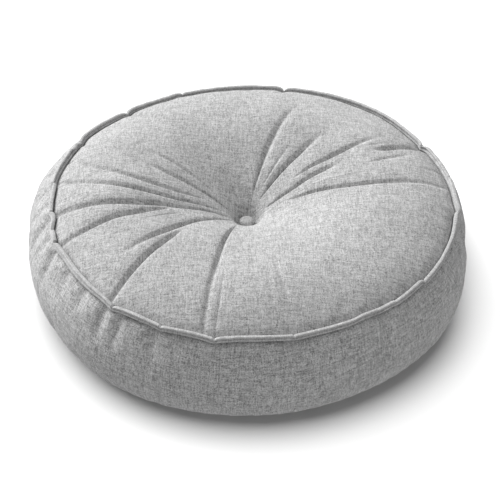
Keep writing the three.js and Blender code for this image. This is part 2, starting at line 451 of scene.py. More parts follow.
def hermite(x: Array, xs: Array, ys: Array, slopes: Array) -> Array:
    """A smooth cubic through points with given slopes.

    Args:
        x: where to read it.
        xs: places of the points, rising.
        ys: heights of the points.
        slopes: slopes at the points.

    Returns:
        The curve at x.
    """
    row = np.clip(np.searchsorted(xs, x, side="right") - 1, 0, len(xs) - 2)
    run = xs[row + 1] - xs[row]
    t = np.clip((x - xs[row]) / run, 0, 1)
    a = 2 * (ys[row] - ys[row + 1]) + run * (slopes[row] + slopes[row + 1])
    b = 3 * (ys[row + 1] - ys[row]) - run * (2 * slopes[row] + slopes[row + 1])
    return ((a * t + b) * t + run * slopes[row]) * t + ys[row]


def rim_at(column: str, angles: Array) -> Array:
    """A smooth closed curve round the cushion through a column of the rim's table.

    Args:
        column: the name of the field.
        angles: angles in degrees.

    Returns:
        The curve at those angles.
    """
    values = np.array([getattr(row, column) for row in RIM], float)
    values = np.concatenate([values[-2:], values, values[:3]])
    step = 360 / len(RIM)
    places = step * (np.arange(len(values)) - 2)
    slopes = np.gradient(values, step)
    return hermite(np.asarray(angles) % 360, places, values, slopes)


def crown_height(shares: Array) -> Array:
    """Height of the smooth top over the seam.

    Args:
        shares: shares of the way from the button to the seam.

    Returns:
        Heights in millimetres.
    """
    xs = np.array([row.share for row in CROWN])
    ys = np.array([row.height for row in CROWN], float)
    slopes = np.zeros(len(xs))
    slopes[1:-1] = (ys[2:] - ys[:-2]) / (xs[2:] - xs[:-2])
    return hermite(shares, xs, ys, slopes)


def turn_to(angles: Array, target: float) -> Array:
    """Shortest way round from the angles to a target, in degrees."""
    return (target - angles + 180) % 360 - 180


def station_angles(count: int) -> Array:
    """Angles in degrees of a number of stations, from the back round to the back."""
    return 90 + 360 * np.arange(count) / count


def polar(angles: Array, radii: Array, heights: Array) -> Array:
    """Points at angles in degrees, radii and heights, stacked in the last axis."""
    turned = np.radians(angles)
    places = radii * np.cos(turned), radii * np.sin(turned), heights
    return np.stack(np.broadcast_arrays(*places), -1)


def srgb(code: str) -> tuple[float, float, float, float]:
    """Turns a colour to linear.

    Args:
        code: an sRGB hex code such as #c8c8c8.

    Returns:
        Red, green, blue and a full alpha.
    """
    parts = [int(code[i : i + 2], 16) / 255 for i in (1, 3, 5)]
    linear = [p / 12.92 if p <= 0.04045 else ((p + 0.055) / 1.055) ** 2.4 for p in parts]
    return (*linear, 1.0)


def deselect() -> None:
    """Leaves edit mode and deselects everything."""
    if bpy.context.object and bpy.context.object.mode != "OBJECT":
        bpy.ops.object.mode_set(mode="OBJECT")
    bpy.ops.object.select_all(action="DESELECT")


def grid_object(
    name: str, points: Array, uvs: Array, hoop: bool, poles: Sequence[Array]
) -> bpy.types.Object:
    """An object from rings of points that close on themselves.

    Args:
        name: the object's name.
        points: rings by stations by 3, in metres.
        uvs: one more station than the points, and one more ring on a hoop.
        hoop: whether the last ring joins the first.
        poles: the closing points under the first ring and over the last, if not a hoop.

    Returns:
        The new object, shaded smooth.
    """
    rings, stations = points.shape[:2]
    rows = rings if hoop else rings - 1
    row, station = np.meshgrid(np.arange(rows), np.arange(stations), indexing="ij")
    up, on = (row + 1) % rings, (station + 1) % stations
    corners = [(row, station), (row, on), (up, on), (up, station)]
    faces = np.stack([r * stations + s for r, s in corners], -1).reshape(-1, 4)
    loops = [(row, station), (row, station + 1), (row + 1, station + 1), (row + 1, station)]
    face_uvs = np.stack([uvs[r, s] for r, s in loops], 2).reshape(-1, 2)
    vertices = points.reshape(-1, 3)
    face_list = faces.tolist()
    if len(poles):
        first = len(vertices)
        vertices = np.concatenate([vertices, np.stack(poles)])
        s = np.arange(stations)
        n = (s + 1) % stations
        last = (rings - 1) * stations
        lower = np.stack([np.full(stations, first), n, s], -1)
        upper = np.stack([np.full(stations, first + 1), last + s, last + n], -1)
        face_list += lower.tolist() + upper.tolist()
        for ring in (0, rings - 1):
            near, far = uvs[ring, s], uvs[ring, s + 1]
            middle = np.mean(uvs[ring, :-1], 0) + 0 * near
            order = (middle, far, near) if ring == 0 else (middle, near, far)
            face_uvs = np.concatenate([face_uvs, np.stack(order, 1).reshape(-1, 2)])
    mesh = bpy.data.meshes.new(name)
    mesh.from_pydata(vertices.tolist(), [], face_list)
    layer = mesh.uv_layers.new(name=THREADS)
    layer.data.foreach_set("uv", face_uvs.astype(np.float32).ravel())
    mesh.polygons.foreach_set("use_smooth", [True] * len(mesh.polygons))
    mesh.update()
    made = bpy.data.objects.new(name, mesh)
    bpy.context.scene.collection.objects.link(made)
    return made


def add_node(
    tree: bpy.types.NodeTree, kind: str, settings: dict[str, Any], **links: Any
) -> bpy.types.Node:
    """Adds a node.

    Args:
        tree: the node tree.
        kind: the node's type, such as ShaderNodeMath.
        settings: properties of the node, and values of its inputs by number or name.
        links: sockets that feed its inputs; in_0 is the input 0, and other names are
            the input's own with _ for a space.

    Returns:
        The new node.
    """
    node = tree.nodes.new(kind)
    for key, value in settings.items():
        if isinstance(key, int) or key in node.inputs:
            node.inputs[key].default_value = value
        else:
            setattr(node, key, value)
    for key, socket in links.items():
        target = int(key[3:]) if key.startswith("in_") else key.replace("_", " ")
        tree.links.new(socket, node.inputs[target])
    return node


@dataclass(frozen=True)
class WovenCloth:
    """A plain-woven heathered cloth, matt, spun of light and dark fibres.

    Real threads of such a cloth lie about 0.5 mm apart. They are drawn about twice as far
    apart, so that they show where a pixel is 1.4 mm wide. A slub is a stretch of a thread
    with a tone and a thickness of its own. The thread spacing, the slub length and the
    relief are in millimetres of cloth on the piece's own UV map. Contrasts are shares of
    the way from dark to light, the wander is in threads, and the two noise scales are waves
    a metre: threads wander over about 17 mm, and tones change over about 70 mm.
    """

    name: str
    light: str
    dark: str
    thread: float
    slub_length: float
    slub_contrast: float
    fleck_contrast: float
    relief: float
    wander_scale: float = 60.0
    wander: float = 1.6
    weft_seed: float = 500.5
    slub_shift: float = 9.0
    fleck_power: float = 0.5
    fleck_mean: float = 0.667
    cloud_scale: float = 14.0
    cloud_contrast: float = 0.16
    grazing_shade_gain: float = 0.25
    slub_relief: float = 0.4

    def material(self) -> bpy.types.Material:
        """Builds the node material.

        Returns:
            The material, with the roughness and soft sheen of matt spun yarn.
        """
        made = bpy.data.materials.new(self.name)
        made.use_nodes = True
        tree = made.node_tree
        shader = tree.nodes["Principled BSDF"]
        # Spun yarn: rough all over, a weak reflection, and a faint sheen from loose fibres.
        shader.inputs["Roughness"].default_value = 0.95
        shader.inputs["IOR"].default_value = 1.45
        shader.inputs["Specular IOR Level"].default_value = 0.15
        shader.inputs["Sheen Weight"].default_value = 0.12
        shader.inputs["Sheen Roughness"].default_value = 0.5
        tone, relief = self.weave(tree)
        ramp = add_node(tree, "ShaderNodeMix", {"data_type": "RGBA"}, in_0=tone)
        ramp.inputs[6].default_value = srgb(self.dark)
        ramp.inputs[7].default_value = srgb(self.light)
        tree.links.new(ramp.outputs[2], shader.inputs["Base Color"])
        depth = {"Strength": 1.0, "Distance": self.relief * MM}
        bump = add_node(tree, "ShaderNodeBump", depth, Height=relief)
        tree.links.new(bump.outputs[0], shader.inputs["Normal"])
        return made

    def weave(self, tree: bpy.types.NodeTree) -> tuple[bpy.types.NodeSocket, bpy.types.NodeSocket]:
        """Adds the nodes of the weave.

        Args:
            tree: the material's node tree.

        Returns:
            The tone from 0, dark, to 1, light, and the height of the threads.
        """
        add = partial(add_node, tree)
        place = add("ShaderNodeUVMap", {"uv_map": THREADS}).outputs[0]

        # The threads' grid, bent a little, as the cloth is never quite straight.
        count = 1 / (self.thread * MM)
        grid = {"operation": "MULTIPLY", 1: (count, count, 0)}
        straight = add("ShaderNodeVectorMath", grid, in_0=place)
        noise = add("ShaderNodeTexNoise", {"Scale": self.wander_scale, "Detail": 2.0}, Vector=place)
        centred = {"operation": "SUBTRACT", 1: (0.5, 0.5, 0)}
        off = add("ShaderNodeVectorMath", centred, in_0=noise.outputs[1])
        bent = add(
            "ShaderNodeVectorMath",
            {"operation": "MULTIPLY_ADD", 1: (self.wander, self.wander, 0)},
            in_0=off.outputs[0],
            in_2=straight.outputs[0],
        )
        thread = add("ShaderNodeVectorMath", {"operation": "FLOOR"}, in_0=bent.outputs[0])
        number = add("ShaderNodeSeparateXYZ", {}, in_0=thread.outputs[0])
        along = add("ShaderNodeSeparateXYZ", {}, in_0=bent.outputs[0])

        # Each thread of the warp and the weft has slubs of its own tone, from its own start.
        share = self.thread / self.slub_length
        slubs = []
        for across, run, seed in ((0, 1, 0.0), (1, 0, self.weft_seed)):
            own = add("ShaderNodeMath", {"operation": "ADD", 1: seed}, in_0=number.outputs[across])
            start = add("ShaderNodeTexWhiteNoise", {"noise_dimensions": "1D"}, W=own.outputs[0])
            shift = {"operation": "MULTIPLY", 1: self.slub_shift}
            moved = add("ShaderNodeMath", shift, in_0=start.outputs[0])
            length = add(
                "ShaderNodeMath",
                {"operation": "MULTIPLY_ADD", 1: share},
                in_0=along.outputs[run],
                in_2=moved.outputs[0],
            )
            piece = add("ShaderNodeMath", {"operation": "FLOOR"}, in_0=length.outputs[0])
            cell = add("ShaderNodeCombineXYZ", {}, in_0=own.outputs[0], in_1=piece.outputs[0])
            slubs.append(add("ShaderNodeTexWhiteNoise", {}, Vector=cell.outputs[0]).outputs[0])
        both = add("ShaderNodeMath", {"operation": "ADD"}, in_0=slubs[0], in_1=slubs[1])

        # Flecks of single crossings, few of them dark, and wide faint clouds of tone.
        fleck = add("ShaderNodeTexWhiteNoise", {}, Vector=thread.outputs[0])
        few = {"operation": "POWER", 1: self.fleck_power}
        sparse = add("ShaderNodeMath", few, in_0=fleck.outputs[0])
        cloud = add("ShaderNodeTexNoise", {"Scale": self.cloud_scale, "Detail": 2.0}, Vector=place)
        level = add(
            "ShaderNodeMath",
            {"operation": "MULTIPLY", 1: self.slub_contrast},
            in_0=both.outputs[0],
        )
        layers = ((self.fleck_contrast, sparse), (self.cloud_contrast, cloud))
        for contrast, layer in layers:
            level = add(
                "ShaderNodeMath",
                {"operation": "MULTIPLY_ADD", 1: contrast},
                in_0=layer.outputs[0],
                in_2=level.outputs[0],
            )
        middle = self.slub_contrast + self.fleck_mean * self.fleck_contrast + self.cloud_contrast / 2
        level = add("ShaderNodeMath", {"operation": "SUBTRACT", 1: middle}, in_0=level.outputs[0])

        # Painted shade of the threads' relief: the light grazes the side and the edging, so their
        # flecks are painted with more contrast there than on the top.
        panel = add("ShaderNodeSeparateXYZ", {}, in_0=place)
        past_top = {"operation": "GREATER_THAN", 1: SIDE_PLACE / 2}
        upright = add("ShaderNodeMath", past_top, in_0=panel.outputs[0])
        stronger = {"operation": "MULTIPLY_ADD", 1: self.grazing_shade_gain, 2: 1.0}
        gain = add("ShaderNodeMath", stronger, in_0=upright.outputs[0])
        tone = add(
            "ShaderNodeMath",
            {"operation": "MULTIPLY_ADD", 2: 0.5, "use_clamp": True},
            in_0=level.outputs[0],
            in_1=gain.outputs[0],
        )

        # Threads are round and go over and under each other, and light slubs are thicker.
        part = add("ShaderNodeVectorMath", {"operation": "FRACTION"}, in_0=bent.outputs[0])
        arch = add("ShaderNodeVectorMath", {"operation": "SCALE", 3: math.pi}, in_0=part.outputs[0])
        humps = add("ShaderNodeVectorMath", {"operation": "SINE"}, in_0=arch.outputs[0])
        hump = add("ShaderNodeSeparateXYZ", {}, in_0=humps.outputs[0])
        crossing = add(
            "ShaderNodeMath", {"operation": "ADD"}, in_0=number.outputs[0], in_1=number.outputs[1]
        )
        over = add("ShaderNodeMath", {"operation": "PINGPONG", 1: 1.0}, in_0=crossing.outputs[0])
        raised = add(
            "ShaderNodeMix",
            {"data_type": "FLOAT"},
            in_0=over.outputs[0],
            in_2=hump.outputs[0],
            in_3=hump.outputs[1],
        )
        height = add(
            "ShaderNodeMath",
            {"operation": "MULTIPLY_ADD", 1: self.slub_relief},
            in_0=both.outputs[0],
            in_2=raised.outputs[0],
        )
        return tone.outputs[0], height.outputs[0]


@dataclass(frozen=True)
class MattSurface:
    """A plain, even and matt surface."""

    name: str
    colour: str
    roughness: float

    def material(self) -> bpy.types.Material:
        """Builds the node material.

        Returns:
            The material.
        """
        made = bpy.data.materials.new(self.name)
        made.use_nodes = True
        shader = made.node_tree.nodes["Principled BSDF"]
        shader.inputs["Base Color"].default_value = srgb(self.colour)
        shader.inputs["Roughness"].default_value = self.roughness
        return made


def between_stations(values: Array, times: int) -> Array:
    """Fills in stations on a smooth curve round each ring.

    Args:
        values: rings by stations by 3.
        times: how many times as many stations there have to be, a power of 2.

    Returns:
        The values at all of them.
    """
    if times == 1:
        return values
    before, after, second = (np.roll(values, shift, 1) for shift in (1, -1, -2))
    halfway = (9 * (values + after) - before - second) / 16
    return between_stations(np.stack([values, halfway], 2).reshape(len(values), -1, 3), times // 2)


@dataclass(frozen=True)
class Swelling:
    """Cloth simulation in which the filling presses the cover out between its creases.

    No point moves further than the cap, in millimetres. The growth is the share by which
    the cloth is larger than its first shape.
    """

    stations: int = 420
    pressure: float = 4.0
    frames: int = 20
    cap: float = 22.0
    growth: float = 0.02
    steps: int = 5
    mass: float = 0.3
    stretch_stiffness: float = 15.0
    shear_stiffness: float = 5.0
    bending_stiffness: float = 0.3
    least_hold: float = 0.01
    smoothing: int = 1
    slow_waves: int = 7

    def run(self, rings: Array, hold: Array) -> Array:
        """Lets the closed cover swell.

        Args:
            rings: rings by stations by 3, in millimetres.
            hold: how firmly each point is held, from 0 to 1.

        Returns:
            How far each point moves, in millimetres.
        """
        count = rings.shape[0] * rings.shape[1]
        blank = np.zeros((rings.shape[0] + 1, rings.shape[1] + 1, 2))
        poles = [rings[0].mean(0) * MM, rings[-1].mean(0) * MM]
        cloth = grid_object("swelling_cover", rings * MM, blank, False, poles)
        group = cloth.vertex_groups.new(name="held")
        weights = np.concatenate([hold.ravel(), [1, 1]])
        for vertex in np.flatnonzero(weights > self.least_hold).tolist():
            group.add([vertex], float(weights[vertex]), "REPLACE")
        cover = cloth.modifiers.new("cloth", "CLOTH")
        settings = cover.settings
        settings.vertex_group_mass = "held"
        settings.quality = self.steps
        settings.mass = self.mass
        settings.tension_stiffness = settings.compression_stiffness = self.stretch_stiffness
        settings.shear_stiffness = self.shear_stiffness
        settings.bending_stiffness = self.bending_stiffness
        settings.use_pressure = True
        settings.uniform_pressure_force = self.pressure
        settings.shrink_min = -self.growth
        settings.effector_weights.gravity = 0
        cover.collision_settings.use_collision = False
        scene = bpy.context.scene
        for frame in range(1, self.frames + 1):
            scene.frame_set(frame)
        settled = cloth.evaluated_get(bpy.context.evaluated_depsgraph_get())
        places = np.zeros(3 * len(settled.data.vertices))
        settled.data.vertices.foreach_get("co", places)
        scene.frame_set(1)
        mesh = cloth.data
        bpy.data.objects.remove(cloth)
        bpy.data.meshes.remove(mesh)
        moved = places.reshape(-1, 3)[:count].reshape(rings.shape) / MM - rings
        moved = self.without_slow_waves(moved)
        for _ in range(self.smoothing):
            moved = (np.roll(moved, 1, 1) + 2 * moved + np.roll(moved, -1, 1)) / 4
            moved[1:-1] = (moved[:-2] + 2 * moved[1:-1] + moved[2:]) / 4
        length = np.linalg.norm(moved, axis=-1, keepdims=True)
        return moved * np.minimum(1, self.cap / np.maximum(length, 1e-6))

    def without_slow_waves(self, moved: Array) -> Array:
        """Takes the slow waves round each ring out of the movement, so that the outline stays.

        Args:
            moved: movement of rings by stations by 3.

        Returns:
            The rest of the movement.
        """
        turn = np.exp(1j * np.radians(station_angles(moved.shape[1])))
        level = (moved[..., 0] + 1j * moved[..., 1]) / turn
        parts = []
        for part in (level.real, level.imag, moved[..., 2]):
            waves = np.fft.rfft(part, axis=1)
            waves[:, : self.slow_waves] = 0
            parts.append(np.fft.irfft(waves, part.shape[1], axis=1))
        level = (parts[0] + 1j * parts[1]) * turn
        return np.stack([level.real, level.imag, parts[2]], -1)


@dataclass
class Cover:
    """The filled cover: crowned top drawn down by the button, bulging side, flat underside.

    Sizes are in millimetres. Near the seam the stitches pinch the cloth into a valley, and
    the three pinch shares say how much of its depth goes inwards and how much goes down.
    Seam fades are the shares of the way over which the seam's own bends die out.
    """

    stations: int = 840
    base_radius: float = 242
    bulge_height: float = 70
    lower_roundness: float = 2.27
    draw_in: float = 1.7
    middle_height: float = 130
    button_x: float = -3
    button_y: float = -4
    lower_rows: int = 18
    valley: float = 6.5
    side_valley: float = 11
    valley_width: float = 5.5
    side_valley_width: float = 9
    pinch_in: float = 0.8
    side_pinch_down: float = 0.3
    top_pinch_down: float = 0.5
    side_seam_fade: float = 0.45
    top_seam_fade: float = 0.12
    fold_rounding: float = 1.2
    fold_spread: float = 1.6
    fold_start: float = 0.12
    crease_blend: float = 2.2
    lump_count: int = 14
    least_lump: float = 55
    longest_lump: float = 150
    lump_height: float = 0.45
    lump_start: float = 0.1
    lump_start_fade: float = 0.2
    lump_end_fade: float = 0.15
    crease_start: float = 0.045
    crease_start_fade: float = 0.05
    crease_end_fade: float = 0.035
    held_base: float = 12
    held_middle: float = 0.1
    mean_side_radius: float = 290
    top_share: float = 0.2

    def seam_line(self, angles: Array) -> Array:
        """How far the seam stands outside its smooth ring.

        Args:
            angles: angles in degrees.

        Returns:
            Distances in millimetres.
        """
        places = np.array([stop.angle for stop in SEAM_LINE])
        after = np.searchsorted(places, angles % 360, side="right") % len(places)
        before = after - 1
        t = ((angles - places[before]) % 360) / ((places[after] - places[before]) % 360)
        sharp = np.array([stop.sharp for stop in SEAM_LINE])
        risen = np.select(
            [sharp[before] & ~sharp[after], sharp[after] & ~sharp[before]],
            [1 - (1 - t) ** 2, t**2],
            smooth_step(t),
        )
        out = np.array([stop.out for stop in SEAM_LINE])
        return out[before] + (out[after] - out[before]) * risen

    def lower_side(self, t: Array, angles: Array) -> Array:
        """Points of the side's rounded lower half.

        Args:
            t: shares of the way up, from the underside at 0 to the widest line at 1.
            angles: angles in degrees.

        Returns:
            Points in millimetres.
        """
        power = 2 / self.lower_roundness
        out = np.sin(t * math.pi / 2) ** power
        up = 1 - np.cos(t * math.pi / 2).clip(0) ** power
        side = rim_at("side_radius", angles)
        radii = self.base_radius + (side - self.base_radius) * out
        return polar(angles, radii, self.bulge_height * up)

    def upper_side(self, t: Array, angles: Array, valley: float | None = None) -> Array:
        """Points of the side from the widest line at 0 to the seam at 1.

        Args:
            t: shares of the way up.
            angles: angles in degrees.
            valley: depth of the sewn valley, if not the cover's own.

        Returns:
            Points in millimetres.
        """
        side = rim_at("side_radius", angles)
        faded = smooth_step((t - 1 + self.side_seam_fade) / self.side_seam_fade)
        out = self.seam_line(angles) * faded
        seam = rim_at("seam_radius", angles) + out
        radii = side - (side - seam) * t**self.draw_in
        dents = np.zeros(np.broadcast(t, angles).shape)
        for gather in GATHERS:
            along = smooth_step((t - 1 + gather.reach) / gather.reach)
            along = along * smooth_step((1 - t) / self.fold_start)
            across = np.radians(turn_to(angles, gather.angle + gather.drift * (1 - t))) * radii
            x = np.hypot(across, self.fold_rounding) - self.fold_rounding
            form = np.clip(1 - x / (self.fold_spread * gather.width), 0, 1) ** 2
            dents += (gather.depth * along * form) ** 2
        radii = radii - np.sqrt(dents)
        tall = rim_at("seam_height", angles) - self.bulge_height
        depth = self.side_valley if valley is None else valley
        pinch = depth * np.clip(1 - (1 - t) * tall / self.side_valley_width, 0, 1) ** 2
        lift = SEAM_LIFT * np.sin(np.radians(angles)) * out
        heights = self.bulge_height + tall * t + lift
        return polar(angles, radii - self.pinch_in * pinch, heights - self.side_pinch_down * pinch)

    def creases_at(self, shares: Array, angles: Array, radii: Array) -> Array:
        """How far all the creases sink the top.

        Args:
            shares: shares of the way to the seam.
            angles: angles in degrees.
            radii: distances from the middle, in millimetres.

        Returns:
            Depths in millimetres. Where creases meet, the deeper one rules.
        """
        powers = np.zeros_like(radii)
        ridges = np.zeros_like(radii)
        for crease in CREASES:
            dent = crease.dent(shares, crease.across(shares, angles, radii))
            if crease.depth > 0:
                powers += dent**self.crease_blend
            else:
                ridges += dent
        return powers ** (1 / self.crease_blend) + ridges

    def lumps(self, x: Array, y: Array) -> Array:
        """Slow unevenness of the filling, as a sum of waves in all directions.

        Args:
            x: places to the right, in millimetres.
            y: places to the back, in millimetres.

        Returns:
            Heights in millimetres.
        """
        draw = np.random.default_rng(11)
        out = np.zeros_like(x)
        for _ in range(self.lump_count):
            length = draw.uniform(self.least_lump, self.longest_lump)
            turned, phase = draw.uniform(0, math.tau), draw.uniform(0, math.tau)
            way = x * math.cos(turned) + y * math.sin(turned)
            out += np.sin(math.tau / length * way + phase) * length / self.longest_lump
        return self.lump_height * out

    def top(self, shares: Array, angles: Array) -> Array:
        """Points of the top panel.

        Args:
            shares: shares of the way from the button at 0 to the seam at 1.
            angles: angles in degrees.

        Returns:
            Points in millimetres.
        """
        seam = rim_at("seam_radius", angles)
        faded = smooth_step((shares - 1 + self.top_seam_fade) / self.top_seam_fade)
        out = self.seam_line(angles) * faded
        radii = shares * seam + out
        rise = rim_at("seam_height", angles) - self.middle_height
        heights = self.middle_height + rise * shares + crown_height(shares)
        fade = smooth_step((1 - shares) / self.crease_end_fade)
        fade = fade * smooth_step((shares - self.crease_start) / self.crease_start_fade)
        lift = SEAM_LIFT * np.sin(np.radians(angles)) * out
        heights = heights - fade * self.creases_at(shares, angles, radii) + lift
        pinch = self.valley * np.clip(1 - (1 - shares) * seam / self.valley_width, 0, 1) ** 2
        points = polar(angles, radii - self.pinch_in * pinch, heights - self.top_pinch_down * pinch)
        points[..., 0] += self.button_x * (1 - shares)
        points[..., 1] += self.button_y * (1 - shares)
        fade = smooth_step((shares - self.lump_start) / self.lump_start_fade)
        fade = fade * smooth_step((1 - shares) / self.lump_end_fade)
        points[..., 2] += fade * self.lumps(points[..., 0], points[..., 1])
        return points

    def top_rows(self) -> Array:
        """Shares of the way to the seam of the top's rings, from the seam inwards."""
        spans = (0.995, 0.95, 8), (0.94, 0.2, 44), (0.19, 0.05, 12), (0.03, 0.012, 2)
        return np.concatenate([np.linspace(*span) for span in spans])

    def rings(self, stations: int) -> tuple[Array, int, int]:
        """The cover's rings from the middle of the underside to the button.

        Args:
            stations: how many points each ring has, from the back round to the back.

        Returns:
            Rings by stations by 3 in millimetres, the first ring of the side and of the top.
        """
        angles = station_angles(stations)[None, :]
        base_rows = np.array([0.1, 0.4, 0.7, 0.9, 0.97])[:, None]
        base = polar(angles, self.base_radius * base_rows, np.zeros_like(base_rows))
        lower = self.lower_side(np.linspace(0, 1, self.lower_rows + 1)[:, None], angles)
        upper_rows = np.concatenate([np.linspace(0.06, 0.8, 13), np.linspace(0.825, 1, 8)])
        upper = self.upper_side(upper_rows[:, None], angles)
        rows = self.top_rows()
        top = self.top(np.repeat(rows[:, None], stations, 1), np.repeat(angles, len(rows), 0))
        top_start = len(base) + len(lower) + len(upper)
        return np.concatenate([base, lower, upper, top]), len(base), top_start

    def held(self, rings: Array, top_start: int) -> Array:
        """How firmly each point is held while the cover swells, from 0 to 1.

        Args:
            rings: the cover's rings, in millimetres.
            top_start: the first ring of the top.

        Returns:
            One number for each ring and station.
        """
        stations = rings.shape[1]
        hold = np.zeros(rings.shape[:2])
        hold[rings[..., 2] < self.held_base] = 1
        hold[top_start - 1 : top_start + 1] = 1
        rows = self.top_rows()
        shares = np.repeat(rows[:, None], stations, 1)
        angles = np.repeat(station_angles(stations)[None, :], len(rows), 0)
        radii = shares * rim_at("seam_radius", angles)
        for crease in CREASES:
            if crease.depth > 0:
                line = crease.hold(shares, crease.across(shares, angles, radii))
                hold[top_start:] = np.maximum(hold[top_start:], line)
        hold[top_start:][shares < self.held_middle] = 1
        return hold

    def build(self) -> bpy.types.Object:
        """Builds the whole closed cover as one mesh, swollen by its filling.

        Returns: The cover's object.
        """
        rings, base_rings, top_start = self.rings(self.stations)
        swelling = Swelling()
        coarse = self.rings(swelling.stations)[0]
        moved = swelling.run(coarse, self.held(coarse, top_start))
        moved[top_start:] *= self.top_share
        rings = rings + between_stations(moved, self.stations // swelling.stations)
        rings = rings * MM
        uvs = self.thread_map(rings, base_rings, top_start)
        button = np.array([self.button_x, self.button_y, self.middle_height + CROWN[0].height])
        return grid_object("cushion_cover", rings, uvs, False, [np.zeros(3), button * MM])

    def thread_map(self, rings: Array, base_rings: int, side_end: int) -> Array:
        """Coordinates of the cloth's threads in metres, panel by panel.

        Args:
            rings: all the cover's rings, in metres.
            base_rings: how many of them are the underside's.
            side_end: the first ring of the top.

        Returns:
            Two coordinates for each ring and station, with the first station repeated.
        """
        closed = np.concatenate([rings, rings[:, :1]], 1)
        uvs = closed[..., :2].copy()
        steps = np.linalg.norm(np.diff(closed[base_rings:side_end], axis=0), axis=-1)
        up = np.concatenate([np.zeros((1, steps.shape[1])), np.cumsum(steps, 0)])
        around = np.linspace(0, math.tau * self.mean_side_radius * MM, closed.shape[1])
        uvs[base_rings:side_end, :, 0] = SIDE_PLACE + around
        uvs[base_rings:side_end, :, 1] = SIDE_PLACE + up.mean(1, keepdims=True)
        return uvs


def boxy(turned: float, corner: float = 0.75) -> tuple[float, float]:
    """A point of a rounded square of half size 1.

    Args:
        turned: angle over the level, in degrees.
        corner: how round it is: 1 is a circle, and less is squarer.

    Returns:
        The way out and the way up.
    """
    a = math.radians(turned)
    return math.cos(a) ** corner, math.copysign(abs(math.sin(a)) ** corner, a)


